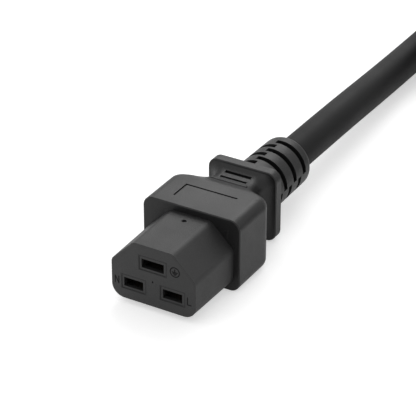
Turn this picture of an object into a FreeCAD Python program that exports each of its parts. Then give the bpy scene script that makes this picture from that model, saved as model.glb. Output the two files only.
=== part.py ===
import FreeCAD, Part
import math
import operator
import os

import Sketcher
from FreeCAD import Placement, Rotation, Vector

# A power cord: a flat-bladed female connector, its jacketed cord put away in a tied hank, and a plug.
# Millimetres. The connector stands on Z = 0 with its nose towards -Y, and the cord leaves towards +Y.

SIZES = {
    # The nose of the connector, and the slots in its face
    "nose_width": 28.1,
    "nose_height": 19.6,
    "nose_length": 21.3,
    "nose_chamfer": 7.5,
    "nose_corner": 4.0,
    "nose_draft": 0.25,
    "nose_drop": 0.3,
    "nose_soft": 2.4,
    "nose_break": 0.35,
    "pin_pitch": 13.0,
    "earth_rise": 8.0,
    "pin_drop": 4.3,
    "slot_width": 6.4,
    "earth_slot_width": 7.4,
    "slot_height": 2.9,
    "slot_rim": 0.9,
    "slot_rim_depth": 0.12,
    "face_wall": 1.5,
    "chamber_height": 5.0,
    "chamber_margin": 0.4,
    "tail_width": 24.0,
    "tail_height": 16.0,
    "tail_length": 8.0,
    "dimple_diameter": 1.5,
    "dimple_depth": 0.3,
    "dimple_setback": 3.8,
    "gate_mark": 0.6,
    "gate_drop": 1.6,
    # The moulded grip: hood, waisted neck, flange and slotted strain relief
    "hood_width": 32.7,
    "hood_height": 23.8,
    "hood_depth": 14.7,
    "hood_edge": 3.4,
    "shoulder_radius": 4.5,
    "neck_sweep": 7.6,
    "neck_length": 15.3,
    "waist_width": 16.4,
    "saddle_setback": 2.6,
    "saddle_depth": 2.3,
    "saddle_edge": 6.0,
    "grip_width": 9.0,
    "grip_slot": 1.1,
    "grip_pitch": 3.0,
    "grip_setback": 10.0,
    "grip_depth": 0.45,
    "rib_width": 12.4,
    "rib_diameter": 1.3,
    "rib_setback": 7.1,
    "rib_sink": 0.3,
    "plate_width": 17.5,
    "plate_setback": 12.1,
    "plate_length": 7.6,
    "plate_line": 0.65,
    "plate_line_depth": 0.4,
    "flange_width": 23.5,
    "flange_height": 23.4,
    "flange_thickness": 3.5,
    "flange_corner": 3.2,
    "flange_land": 0.5,
    "edge_break": 0.3,
    "relief_length": 25.7,
    "relief_root": 17.7,
    "relief_tip": 17.0,
    "relief_round": 1.8,
    "relief_lead": 5.4,
    "relief_pitch": 6.15,
    "relief_slot": 2.0,
    "relief_skin": 0.5,
    "wide_slot_span": 100.0,
    "wide_slot_turn": 40.0,
    "narrow_slot_span": 90.0,
    "narrow_slot_turn": -45.0,
    # The cord and its cores
    "cord_diameter": 11.3,
    "core_diameter": 3.7,
    "core_offset": 2.35,
    "conductor_diameter": 2.4,
    "strip_length": 5.5,
    "jacket_setback": 1.0,
    # The brass contacts and pins
    "contact_play": 0.2,
    "contact_setback": 4.0,
    "contact_length": 14.0,
    "contact_leaf": 0.6,
    "contact_pinch": 1.8,
    "contact_mouth": 2.8,
    "contact_lead": 2.4,
    "barrel_diameter": 4.0,
    "barrel_length": 6.5,
    "crimp_play": 0.05,
    "core_gap": 0.2,
    "pin_thickness": 2.0,
    "pin_play": 0.2,
    "pin_setback": 3.0,
    "pin_nose": 0.6,
    # The plug's shroud and pin carrier
    "cavity_play": 0.4,
    "cavity_spare": 0.5,
    "pin_carrier_width": 26.0,
    "pin_carrier_height": 17.4,
    "pin_carrier_length": 9.0,
    "plug_hood_depth": 36.6,
    "plug_x": 79.0,
    "plug_y": 25.0,
    # The hank that holds the spare length, and its ties
    "hank_x": -3.0,
    "hank_y": 168.0,
    "hank_fold": 34.0,
    "hank_run": 130.0,
    "hank_left_end": 170.0,
    "hank_right_end": 214.0,
    "hank_climb": 26.0,
    "lay_gap": 0.1,
    "tie_thickness": 1.3,
    "tie_width": 16.0,
    "tie_y": 250.0,
    "tie_slack": 0.1,
    "tie_corner": 1.2,
}

slot_rings = 3
bend_share = 0.45

doc = FreeCAD.newDocument("power_cord")
sheet = doc.addObject("Spreadsheet::Sheet", "dims")
for row, (alias, value) in enumerate(SIZES.items(), 1):
    sheet.set(f"A{row}", alias)
    sheet.set(f"B{row}", str(value))
    sheet.setAlias(f"B{row}", alias)
doc.recompute()
OPERATIONS = {"+": operator.add, "-": operator.sub, "*": operator.mul, "/": operator.truediv}


class Size:
    """A driving dimension, or a formula of driving dimensions, with its present value."""

    def __init__(self, value, text):
        self.value = float(value)
        self.text = text

    def __add__(self, other):
        return combined("+", self, other)

    def __radd__(self, other):
        return combined("+", other, self)

    def __sub__(self, other):
        return combined("-", self, other)

    def __rsub__(self, other):
        return combined("-", other, self)

    def __mul__(self, other):
        return combined("*", self, other)

    def __rmul__(self, other):
        return combined("*", other, self)

    def __truediv__(self, other):
        return combined("/", self, other)

    def __neg__(self):
        return combined("*", -1, self)


def as_size(item):
    return item if isinstance(item, Size) else Size(item, f"({item})")


def combined(sign, left, right):
    left = as_size(left)
    right = as_size(right)
    return Size(OPERATIONS[sign](left.value, right.value), f"({left.text} {sign} {right.text})")


def root(size):
    return Size(math.sqrt(size.value), f"sqrt({size.text})")


class Dimensions:
    """The driving dimensions by name, each ready to be used in a formula."""

    def __init__(self, sizes):
        for alias, value in sizes.items():
            setattr(self, alias, Size(value, f"dims.{alias}"))


dims = Dimensions(SIZES)
axis_height = dims.hood_height / 2
flange_front = dims.nose_length + dims.hood_depth + dims.neck_length
connector_length = flange_front + dims.flange_thickness + dims.relief_length
connector_back = -connector_length / 2
nose_bottom = -dims.nose_height / 2 - dims.nose_drop
nose_top = dims.nose_height / 2 - dims.nose_drop
earth_height = dims.earth_rise - dims.pin_drop
cavity_depth = dims.nose_length + dims.cavity_spare


def bind(item, path, size):
    item.setExpression(path, as_size(size).text)


def new_body(label, x=0, y=connector_back, z=axis_height):
    """A body whose own origin lies on the axis of its connector or plug, at the foremost plane."""
    body = doc.addObject("PartDesign::Body", label)
    body.Label = label
    for letter, place in (("x", x), ("y", y), ("z", z)):
        bind(body, f"Placement.Base.{letter}", place)
    return body


def sketch_on(body, name, role, depth=0, turn=None):
    """A sketch on one of the body's origin planes, moved along its normal or turned about its own X."""
    plane = next(f for f in body.Origin.OriginFeatures if f.Role == role)
    sketch = body.newObject("Sketcher::SketchObject", name)
    sketch.AttachmentSupport = [(plane, "")]
    sketch.MapMode = "FlatFace"
    if turn is not None:
        sketch.AttachmentOffset = Placement(Vector(), Rotation(Vector(1, 0, 0), as_size(turn).value))
    bind(sketch, "AttachmentOffset.Base.z", depth)
    return sketch


def across(body, name, y):
    """A sketch square to the cord's axis, at y from the foremost plane, drawn in the part's X and Z."""
    return sketch_on(body, name, "XZ_Plane", -as_size(y))


def pin_point(sketch, edge, point, x, y):
    """Holds one point of a sketch at x, y."""
    for kind, line, place in (("DistanceX", -2, as_size(x)), ("DistanceY", -1, as_size(y))):
        if abs(place.value) < 1e-9:
            sketch.addConstraint(Sketcher.Constraint("PointOnObject", edge, point, line))
            continue
        pin_place(sketch, kind, edge, point, place)


def pin_place(sketch, kind, edge, point, size):
    """Holds one point of a sketch at a distance from the origin along one axis."""
    index = sketch.addConstraint(Sketcher.Constraint(kind, -1, 1, edge, point, size.value))
    sketch.setExpression(f"Constraints[{index}]", size.text)


def dimension(sketch, kind, edge, size):
    index = sketch.addConstraint(Sketcher.Constraint(kind, edge, as_size(size).value))
    sketch.setExpression(f"Constraints[{index}]", as_size(size).text)


def polygon(sketch, corners):
    """A closed outline of straight lines through its corners."""
    spots = [Vector(as_size(x).value, as_size(y).value, 0) for x, y in corners]
    first = sketch.GeometryCount
    for i, spot in enumerate(spots):
        sketch.addGeometry(Part.LineSegment(spot, spots[(i + 1) % len(spots)]), False)
    for i in range(len(spots)):
        following = first + (i + 1) % len(spots)
        sketch.addConstraint(Sketcher.Constraint("Coincident", first + i, 2, following, 1))
    for i, (x, y) in enumerate(corners):
        pin_point(sketch, first + i, 1, x, y)


def rectangle(sketch, width, height, x=0, y=0):
    left, right = x - width / 2, x + width / 2
    low, high = y - height / 2, y + height / 2
    polygon(sketch, [(left, low), (right, low), (right, high), (left, high)])


def rounded_polygon(sketch, corners, radii):
    """A closed outline of straight lines, anticlockwise, with a tangent arc at each corner."""
    spots = [Vector(as_size(x).value, as_size(y).value, 0) for x, y in corners]
    count = len(spots)
    arrivals, leavings, arcs = [], [], []
    for i, spot in enumerate(spots):
        into = (spot - spots[i - 1]).normalize()
        out = (spots[(i + 1) % count] - spot).normalize()
        turn = into.getAngle(out)
        radius = radii[i].value
        arrivals.append(spot - into * radius * math.tan(turn / 2))
        leavings.append(spot + out * radius * math.tan(turn / 2))
        ring = Part.Circle(arrivals[i] + Vector(-into.y, into.x, 0) * radius, Vector(0, 0, 1), radius)
        begin = math.atan2(-into.x, into.y)
        arcs.append(Part.ArcOfCircle(ring, begin, begin + turn))
    for i in range(count):
        sketch.addGeometry(Part.LineSegment(leavings[i], arrivals[(i + 1) % count]), False)
    for arc in arcs:
        sketch.addGeometry(arc, False)
    for i in range(count):
        sketch.addConstraint(Sketcher.Constraint("Tangent", count + i, 2, i, 1))
        sketch.addConstraint(Sketcher.Constraint("Tangent", i, 2, count + (i + 1) % count, 1))
        dimension(sketch, "Radius", count + i, radii[i])
    for i in range(count):
        hold_line(sketch, i, corners[i], corners[(i + 1) % count])


def hold_line(sketch, line, start, end):
    """Holds a line level, upright or at its slant, at its distance from the origin."""
    (x, y), (far_x, far_y) = [[as_size(value) for value in corner] for corner in (start, end)]
    run, rise = far_x - x, far_y - y
    if abs(rise.value) < 1e-9:
        sketch.addConstraint(Sketcher.Constraint("Horizontal", line))
        pin_place(sketch, "DistanceY", line, 1, y)
    elif abs(run.value) < 1e-9:
        sketch.addConstraint(Sketcher.Constraint("Vertical", line))
        pin_place(sketch, "DistanceX", line, 1, x)
    else:
        sketch.addConstraint(Sketcher.Constraint("Angle", line, math.atan2(rise.value, run.value)))
        apart = (x * far_y - far_x * y) / root(run * run + rise * rise)
        index = sketch.addConstraint(Sketcher.Constraint("Distance", -1, 1, line, apart.value))
        sketch.setExpression(f"Constraints[{index}]", apart.text)


def rounded_rectangle(sketch, width, height, corner):
    """A rectangle about the origin with four equal round corners."""
    x, y = width / 2, height / 2
    rounded_polygon(sketch, [(-x, -y), (x, -y), (x, y), (-x, y)], [corner] * 4)


def circle(sketch, diameter, x=0, y=0):
    middle = Vector(as_size(x).value, as_size(y).value, 0)
    edge = sketch.addGeometry(Part.Circle(middle, Vector(0, 0, 1), as_size(diameter).value / 2), False)
    pin_point(sketch, edge, 3, x, y)
    dimension(sketch, "Radius", edge, diameter / 2)


def pad(body, sketch, length, symmetric=False, reverse=False):
    made = body.newObject("PartDesign::Pad", f"{sketch.Name}_pad")
    made.Profile = sketch
    made.SideType = "Symmetric" if symmetric else "One side"
    made.Reversed = reverse
    bind(made, "Length", length)
    settled(made)


def settled(made):
    """Recomputes and stops the build at the first feature that fails."""
    doc.recompute()
    if not made.isValid() or made.Shape.isNull():
        raise RuntimeError(f"{made.Name} failed: {made.State}")


def cut_checked(body, made, before):
    """Recomputes a cut and stops the build if it took nothing away."""
    settled(made)
    if not body.Shape.Volume < before - 1e-6:
        raise RuntimeError(f"{made.Name} cuts nothing")


def pocket(body, sketch, length, symmetric=False, reverse=False):
    before = body.Shape.Volume
    made = body.newObject("PartDesign::Pocket", f"{sketch.Name}_pocket")
    made.Profile = sketch
    made.SideType = "Symmetric" if symmetric else "One side"
    made.Reversed = reverse
    bind(made, "Length", length)
    cut_checked(body, made, before)


def groove(body, sketch, span):
    """Cuts a profile turned about the sketch's X axis, half the span to each side."""
    before = body.Shape.Volume
    made = body.newObject("PartDesign::Groove", f"{sketch.Name}_groove")
    made.Profile = sketch
    made.ReferenceAxis = (sketch, ["H_Axis"])
    made.Midplane = True
    bind(made, "Angle", span)
    cut_checked(body, made, before)


def edge_feature(body, kind, name, wanted):
    """A feature on those edges of the body so far that the test picks."""
    base = body.Tip
    names = [f"Edge{i + 1}" for i, edge in enumerate(base.Shape.Edges) if wanted(edge)]
    made = body.newObject(f"PartDesign::{kind}", name)
    made.Base = (base, names)
    return made


def fillet(body, name, wanted, radius):
    made = edge_feature(body, "Fillet", name, wanted)
    bind(made, "Radius", radius)
    settled(made)


def chamfer(body, name, wanted, size):
    made = edge_feature(body, "Chamfer", name, wanted)
    bind(made, "Size", size)
    settled(made)


def middle_of(edge):
    return edge.valueAt((edge.FirstParameter + edge.LastParameter) / 2)


def runs_along(edge, letter):
    """Whether an edge runs nearly straight along one axis."""
    start, end = edge.valueAt(edge.FirstParameter), edge.valueAt(edge.LastParameter)
    along = end - start
    return along.Length > 1e-6 and abs(getattr(along, letter)) > 0.99 * along.Length


def near(one, other):
    return abs(one - as_size(other).value) < 1e-3


def nose_outline(sketch, grow=0):
    """The nose's section: round lower corners, and upper corners cut off at 45 degrees and softened."""
    side = dims.nose_width / 2 + grow
    low, high = nose_bottom - grow, nose_top + grow
    top = side - dims.nose_chamfer
    step = high - dims.nose_chamfer
    corners = [(-side, low), (side, low), (side, step), (top, high), (-top, high), (-side, step)]
    rounded_polygon(sketch, corners, [dims.nose_corner] * 2 + [dims.nose_soft] * 4)


def loft(body, sections, ruled=True):
    made = body.newObject("PartDesign::AdditiveLoft", f"{sections[0].Name}_loft")
    made.Profile = sections[0]
    made.Sections = sections[1:]
    made.Ruled = ruled
    settled(made)


def blade_places(side=1):
    """Each pole's name, place across and up from the axis, and slot width; side 1 has line on the right."""
    return (
        ("line", dims.pin_pitch / 2 * side, -dims.pin_drop, dims.slot_width),
        ("neutral", -dims.pin_pitch / 2 * side, -dims.pin_drop, dims.slot_width),
        ("earth", as_size(0), earth_height, dims.earth_slot_width),
    )


def contact_carrier():
    """The hard nose with its blade slots and contact chambers, and the tail that the grip goes over."""
    body = new_body("contact_carrier")
    sections = []
    stations = (
        ("face", 0, -dims.nose_break),
        ("brow", dims.nose_break, 0),
        ("heel", dims.nose_length, dims.nose_draft),
    )
    for name, y, grow in stations:
        sections.append(across(body, f"nose_{name}", y))
        nose_outline(sections[-1], grow)
    loft(body, sections)
    tail = across(body, "tail", dims.nose_length)
    rectangle(tail, dims.tail_width, dims.tail_height, 0, -dims.nose_drop)
    pad(body, tail, dims.tail_length, reverse=True)
    rims = across(body, "slot_rims", 0)
    slots = across(body, "slots", 0)
    chambers = across(body, "chambers", dims.nose_length + dims.tail_length)
    for _, x, z, width in blade_places():
        rectangle(rims, width + dims.slot_rim * 2, dims.slot_height + dims.slot_rim * 2, x, z)
        rectangle(slots, width, dims.slot_height, x, z)
        rectangle(chambers, width + dims.chamber_margin * 2, dims.chamber_height, x, z)
    pocket(body, rims, dims.slot_rim_depth)
    pocket(body, slots, dims.face_wall)
    pocket(body, chambers, dims.nose_length + dims.tail_length - dims.face_wall, reverse=True)
    dimple = sketch_on(body, "dimple", "XY_Plane", nose_top - dims.dimple_depth)
    circle(dimple, dims.dimple_diameter, 0, dims.nose_length - dims.dimple_setback)
    pocket(body, dimple, dims.dimple_depth * 3, reverse=True)
    gate = across(body, "gate_mark", 0)
    circle(gate, dims.gate_mark, 0, -dims.gate_drop)
    pocket(body, gate, dims.dimple_depth)
    return body


def crimp_barrel(body, start):
    """A round crimp barrel behind a contact or pin, with the bore that takes the bare conductor."""
    barrel = across(body, "barrel", start)
    circle(barrel, dims.barrel_diameter)
    pad(body, barrel, dims.barrel_length, reverse=True)
    hole = across(body, "barrel_bore", start + dims.barrel_length)
    circle(hole, dims.conductor_diameter + dims.crimp_play * 2)
    pocket(body, hole, dims.strip_length + dims.crimp_play, reverse=True)


def contact(pole, x, z, width):
    """A brass spring fork: two leaves that pinch a blade behind a flared mouth, and a crimp barrel."""
    body = new_body(f"{pole}_contact", x, connector_back, axis_height + z)
    mouth = dims.face_wall + dims.contact_setback
    back = mouth + dims.contact_length
    pinch = mouth + dims.contact_lead
    heel = back - dims.contact_leaf
    half = dims.chamber_height / 2 - dims.contact_play
    inner = dims.contact_pinch / 2
    flare = dims.contact_mouth / 2
    upper = [
        (heel, half - dims.contact_leaf),
        (pinch, inner),
        (mouth, flare),
        (mouth, flare + dims.contact_leaf),
        (pinch, inner + dims.contact_leaf),
        (heel, half),
        (back, half),
    ]
    lower = [(y, -height) for y, height in reversed(upper)]
    side = sketch_on(body, "fork", "YZ_Plane")
    polygon(side, upper + lower)
    pad(body, side, width - dims.contact_play * 2, symmetric=True)
    crimp_barrel(body, back)
    return body


def blade_pin(pole, x, z, width):
    """A flat brass pin with a bevelled nose, set through the pin carrier, with a crimp barrel behind."""
    body = new_body(f"{pole}_pin", dims.plug_x + x, dims.plug_y, axis_height + z)
    back = cavity_depth + dims.pin_carrier_length
    half = dims.pin_thickness / 2
    bevel = dims.pin_setback + dims.pin_nose
    upper = [(dims.pin_setback, half - dims.pin_nose), (bevel, half), (back, half)]
    lower = [(y, -height) for y, height in reversed(upper)]
    side = sketch_on(body, "blade", "YZ_Plane")
    polygon(side, upper + lower)
    pad(body, side, width - dims.pin_play * 2, symmetric=True)
    crimp_barrel(body, back)
    return body


def core(label, x, z, start, end, place):
    """One insulated core from its crimp barrel in to the end of the jacket, with its bare conductor."""
    body = new_body(label, *place)
    inward = dims.core_offset / root(x * x + z * z)
    sections = []
    for y, share in ((start, 1), (end, inward)):
        sections.append(across(body, "core_section", y))
        circle(sections[-1], dims.core_diameter, x * share, z * share)
    loft(body, sections)
    bare = across(body, "conductor", start)
    circle(bare, dims.conductor_diameter, x, z)
    pad(body, bare, dims.strip_length)
    return body


def hood_side(sketch, side, front, shoulder):
    """One side of the grip from above: straight hood, round shoulder, and the sweep in to the waist."""
    half, waist = dims.hood_width.value / 2, dims.waist_width.value / 2
    swing = dims.shoulder_radius.value + dims.neck_sweep.value
    turn = math.acos(1 - (half - waist) / swing)
    waist_y = shoulder.value + swing * math.sin(turn)

    def arc(x, y, radius, start, end):
        if side < 0:
            start, end = math.pi - end, math.pi - start
        ring = Part.Circle(Vector(side * x, y, 0), Vector(0, 0, 1), radius)
        return sketch.addGeometry(Part.ArcOfCircle(ring, start, end), False)

    begin, end = (1, 2) if side > 0 else (2, 1)
    top = Vector(side * half, front.value, 0)
    line = sketch.addGeometry(Part.LineSegment(top, Vector(side * half, shoulder.value, 0)), False)
    bulge = arc(half - dims.shoulder_radius.value, shoulder.value, dims.shoulder_radius.value, 0, turn)
    hollow = arc(waist + dims.neck_sweep.value, waist_y, dims.neck_sweep.value, math.pi, math.pi + turn)
    sketch.addConstraint(Sketcher.Constraint("Tangent", line, 2, bulge, begin))
    sketch.addConstraint(Sketcher.Constraint("Tangent", bulge, end, hollow, end))
    sketch.addConstraint(Sketcher.Constraint("Vertical", line))
    pin_point(sketch, line, 1, dims.hood_width / 2 * side, front)
    pin_place(sketch, "DistanceY", line, 2, shoulder)
    dimension(sketch, "Radius", bulge, dims.shoulder_radius)
    dimension(sketch, "Radius", hollow, dims.neck_sweep)
    sketch.addConstraint(Sketcher.Constraint("Horizontal", hollow, 3, hollow, begin))
    pin_place(sketch, "DistanceX", hollow, begin, dims.waist_width / 2 * side)
    return line, (hollow, begin)


def neck_waist():
    """How far behind the start of the shoulder the neck is narrowest."""
    swing = dims.shoulder_radius + dims.neck_sweep
    inward = (dims.hood_width - dims.waist_width) / 2
    return root(inward * (swing * 2 - inward))


def grip_plan(sketch, front, shoulder):
    """The hood and the front of the neck seen from above, one closed outline."""
    right, right_waist = hood_side(sketch, 1, front, shoulder)
    left, left_waist = hood_side(sketch, -1, front, shoulder)
    half, waist = dims.hood_width.value / 2, dims.waist_width.value / 2
    back = (shoulder + neck_waist()).value
    mouth = Part.LineSegment(Vector(-half, front.value, 0), Vector(half, front.value, 0))
    face = sketch.addGeometry(mouth, False)
    rear = sketch.addGeometry(Part.LineSegment(Vector(waist, back, 0), Vector(-waist, back, 0)), False)
    joins = ((face, 1, (left, 1)), (face, 2, (right, 1)), (rear, 1, right_waist), (rear, 2, left_waist))
    for one, its_end, other in joins:
        sketch.addConstraint(Sketcher.Constraint("Coincident", one, its_end, *other))


def neck_flare(body, start, end):
    """The neck's sweep from its waist out to the flange, through rounded sections."""
    along = end - start
    out = (dims.flange_width - dims.waist_width) / 2 - dims.flange_land
    rise = (dims.flange_height - dims.hood_height) / 2 + dims.saddle_depth - dims.flange_land
    sweep = (out * out + along * along) / (out * 2)
    sections = []
    for part in (0, 0.4, 0.75, 1):
        away = along * part
        opened = sweep - root(sweep * sweep - away * away)
        height = dims.hood_height - dims.saddle_depth * 2 + opened * rise * 2 / out
        section = across(body, "flare_section", start + away)
        rounded_rectangle(section, dims.waist_width + opened * 2, height, dims.hood_edge)
        sections.append(section)
    loft(body, sections, False)


def finger_grip(body, shoulder):
    """The saddle across the top and bottom of the neck, and the rounding along the hood and the neck."""
    saddle_front = shoulder + dims.saddle_setback
    back = shoulder + neck_waist()
    floor = dims.hood_height / 2 - dims.saddle_depth
    reach = back - saddle_front
    radius = (reach * reach + dims.saddle_depth * dims.saddle_depth) / (dims.saddle_depth * 2)
    saddle = sketch_on(body, "saddle", "YZ_Plane")
    for side in (1, -1):
        circle(saddle, radius * 2, back, (floor + radius) * side)
    pocket(body, saddle, dims.hood_width * 2, symmetric=True)
    height = dims.hood_height.value / 2

    def lip(edge):
        spot = middle_of(edge)
        return runs_along(edge, "x") and near(spot.y, saddle_front) and near(abs(spot.z), height)

    fillet(body, "saddle_lips", lip, dims.saddle_edge)

    def long_edge(edge):
        spot = middle_of(edge)
        on_face = near(spot.y, back) or runs_along(edge, "x") or runs_along(edge, "z")
        return not on_face and abs(spot.z) > floor.value - 1e-3

    fillet(body, "grip_edges", long_edge, dims.hood_edge)
    front = min(vertex.Y for vertex in body.Tip.Shape.Vertexes)
    chamfer(body, "hood_mouth", lambda edge: near(middle_of(edge).y, front), dims.edge_break)


def grip_grooves(body, shoulder):
    """The two finger grooves across the upper saddle, and the rib in front of them."""
    floor = dims.hood_height / 2 - dims.saddle_depth
    grooves = sketch_on(body, "grip_grooves", "XY_Plane", floor - dims.grip_depth)
    for setback in (dims.grip_setback, dims.grip_setback + dims.grip_pitch):
        rectangle(grooves, dims.grip_width, dims.grip_slot, 0, shoulder + setback)
    pocket(body, grooves, dims.saddle_depth + dims.grip_depth * 2, reverse=True)
    reach = neck_waist() - dims.saddle_setback
    radius = (reach * reach + dims.saddle_depth * dims.saddle_depth) / (dims.saddle_depth * 2)
    away = neck_waist() - dims.rib_setback
    height = floor + radius - root(radius * radius - away * away)
    rib = sketch_on(body, "grip_rib", "YZ_Plane")
    circle(rib, dims.rib_diameter, shoulder + dims.rib_setback, height - dims.rib_sink)
    pad(body, rib, dims.rib_width, symmetric=True)


def rounded_flange(body, front):
    """The finger flange: a square plate with round corners."""
    plate = across(body, "flange", front)
    rounded_rectangle(plate, dims.flange_width, dims.flange_height, dims.flange_corner)
    pad(body, plate, dims.flange_thickness, reverse=True)
    half_width, half_height = dims.flange_width.value / 2, dims.flange_height.value / 2

    def rim(edge):
        spot = middle_of(edge)
        on_side = near(abs(spot.x), half_width) or near(abs(spot.z), half_height)
        corner = dims.flange_corner.value
        out, up = abs(spot.x) - half_width + corner, abs(spot.z) - half_height + corner
        on_corner = out > 0 and up > 0 and near(math.hypot(out, up), corner)
        on_rim = near(spot.y, front) or near(spot.y, front + dims.flange_thickness)
        return on_rim and (on_side or on_corner)

    chamfer(body, "flange_rims", rim, dims.edge_break)


def strain_relief(body, start):
    """A tapered sleeve about the cord, with staggered rings of slots that let it bend."""
    end = start + dims.relief_length
    profile = sketch_on(body, "relief_profile", "YZ_Plane")
    polygon(profile, [(start, 0), (end, 0), (end, dims.relief_tip / 2), (start, dims.relief_root / 2)])
    made = body.newObject("PartDesign::Revolution", "relief")
    made.Profile = profile
    made.ReferenceAxis = (profile, ["H_Axis"])
    made.Angle = 360
    settled(made)
    fillet(body, "relief_end", lambda e: near(middle_of(e).y, end) and e.Length > 1, dims.relief_round)
    floor = dims.cord_diameter / 2 + dims.relief_skin
    slot_depth = dims.relief_root / 2
    for name, lead, span, turn in (
        ("wide_slots", dims.relief_lead + dims.relief_pitch / 2, dims.wide_slot_span, dims.wide_slot_turn),
        ("narrow_slots", dims.relief_lead, dims.narrow_slot_span, dims.narrow_slot_turn),
    ):
        for half_turn in (0, 180):
            rings = sketch_on(body, name, "YZ_Plane", 0, turn + half_turn)
            for ring in range(slot_rings):
                place = start + lead + dims.relief_pitch * ring
                rectangle(rings, dims.relief_slot, slot_depth, place, floor + slot_depth / 2)
            groove(body, rings, span)


def grip_blank(label, place, front, depth):
    """The whole moulded grip with no insides: hood, neck, flange and strain relief."""
    body = new_body(label, *place)
    shoulder = as_size(front) + depth
    back = shoulder + dims.neck_length
    plan = sketch_on(body, "grip_plan", "XY_Plane")
    grip_plan(plan, as_size(front), shoulder)
    pad(body, plan, dims.hood_height, symmetric=True)
    finger_grip(body, shoulder)
    neck_flare(body, shoulder + neck_waist(), back)
    grip_grooves(body, shoulder)
    rounded_flange(body, back)
    strain_relief(body, back + dims.flange_thickness)
    return body


def moulded_over(label, blank, insides):
    """The grip with the exact space of what it was moulded over."""
    inner = doc.addObject("Part::MultiFuse", f"{label}_insides")
    inner.Shapes = insides
    made = doc.addObject("Part::Cut", label)
    made.Label = label
    made.Base = blank
    made.Tool = inner
    doc.recompute()
    return made


def connector_grip(insides):
    place = (0, connector_back, axis_height)
    blank = grip_blank("connector_blank", place, dims.nose_length, dims.hood_depth)
    seat = across(blank, "tail_seat", dims.nose_length)
    rectangle(seat, dims.tail_width, dims.tail_height, 0, -dims.nose_drop)
    pocket(blank, seat, dims.tail_length)
    frame = sketch_on(blank, "plate_frame", "XY_Plane", dims.hood_height / 2 - dims.plate_line_depth)
    rear = dims.nose_length + dims.plate_setback
    left = -dims.plate_width / 2
    polygon(
        frame,
        [
            (left, rear),
            (left, rear - dims.plate_length),
            (left + dims.plate_line, rear - dims.plate_length),
            (left + dims.plate_line, rear - dims.plate_line),
            (-left, rear - dims.plate_line),
            (-left, rear),
        ],
    )
    pocket(blank, frame, dims.plate_line_depth * 2, reverse=True)
    return moulded_over("connector_overmould", blank, insides)


def plug_grip(insides):
    blank = grip_blank("plug_blank", (dims.plug_x, dims.plug_y, axis_height), 0, dims.plug_hood_depth)
    mouth = across(blank, "cavity", 0)
    nose_outline(mouth, dims.nose_draft + dims.cavity_play)
    pocket(blank, mouth, cavity_depth)
    seat = across(blank, "pin_carrier_seat", cavity_depth)
    rectangle(seat, dims.pin_carrier_width, dims.pin_carrier_height, 0, -dims.nose_drop)
    pocket(blank, seat, dims.pin_carrier_length)
    return moulded_over("plug_overmould", blank, insides)


def pin_carrier():
    """The hard plate at the bottom of the shroud that holds the three pins."""
    body = new_body("pin_carrier", dims.plug_x, dims.plug_y, axis_height)
    block = across(body, "plate", cavity_depth)
    rectangle(block, dims.pin_carrier_width, dims.pin_carrier_height, 0, -dims.nose_drop)
    pad(body, block, dims.pin_carrier_length, reverse=True)
    holes = across(body, "pin_holes", cavity_depth)
    for _, x, z, width in blade_places(-1):
        rectangle(holes, width - dims.pin_play * 2, dims.pin_thickness, x, z)
    pocket(body, holes, dims.pin_carrier_length)
    return body


def cord_tube(label, points):
    """A round tube along straight runs joined by tangent arcs, each arc as large as its two runs allow."""
    edges = []
    start = points[0]
    for before, corner, after in zip(points, points[1:], points[2:]):
        into = (corner - before).normalize()
        out = (after - corner).normalize()
        turn = into.getAngle(out)
        reach = bend_share * min((corner - before).Length, (after - corner).Length)
        radius = reach / math.tan(turn / 2)
        print(f"{label} bend radius {radius:.0f} mm, turn {math.degrees(turn):.1f} degrees")
        arc_start, arc_end = corner - into * reach, corner + out * reach
        bulge = radius * (1 / math.cos(turn / 2) - 1)
        toward = (out - into).normalize()
        edges.append(Part.LineSegment(start, arc_start).toShape())
        edges.append(Part.Arc(arc_start, corner + toward * bulge, arc_end).toShape())
        start = arc_end
    edges.append(Part.LineSegment(start, points[-1]).toShape())
    path = Part.Wire(edges)
    first = (points[1] - points[0]).normalize()
    ring = Part.Wire(Part.makeCircle(dims.cord_diameter.value / 2, points[0], first))
    tube = path.makePipeShell([ring], True, False)
    expected = math.pi * dims.cord_diameter.value**2 / 4 * path.Length
    share = tube.Volume / expected
    print(f"{label} is {path.Length:.0f} mm long, volume {share:.5f} of its section times its length")
    made = doc.addObject("Part::Feature", label)
    made.Label = label
    made.Shape = tube
    made.Placement = Placement()
    return made


def hank_levels():
    """The heights of the cord's centre line in the lower and the upper layer of the hank."""
    low = dims.tie_thickness.value + dims.cord_diameter.value / 2
    return low, low + dims.cord_diameter.value


def jacket_end():
    return (flange_front - dims.jacket_setback + connector_back).value


def cord_run():
    """From inside the strain relief, down to the floor and into the lower left run of the hank."""
    x = dims.hank_x.value
    level = axis_height.value
    low, _ = hank_levels()
    points = [
        Vector(0, jacket_end(), level),
        Vector(0, 65, level),
        Vector(x, 120, low),
        Vector(x, dims.hank_left_end.value, low),
    ]
    return cord_tube("cord_run", points)


def cord_tail():
    """From the upper right run of the hank, over its edge and down into the strain relief of the plug."""
    x = dims.hank_x.value + 2 * dims.hank_fold.value
    level = axis_height.value
    _, high = hank_levels()
    over = dims.plug_x.value - x
    points = [
        Vector(x, dims.hank_right_end.value, high),
        Vector(x, 188, high),
        Vector(x + 0.32 * over, 162, high + 0.8),
        Vector(x + 0.75 * over, 137, high - 0.5 * (high - level)),
        Vector(dims.plug_x.value, 107.5, level),
        Vector(dims.plug_x.value, plug_jacket_end().value, level),
    ]
    return cord_tube("cord_tail", points)


def plug_jacket_end():
    return dims.plug_y + dims.plug_hood_depth + dims.neck_length + dims.jacket_setback


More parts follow.
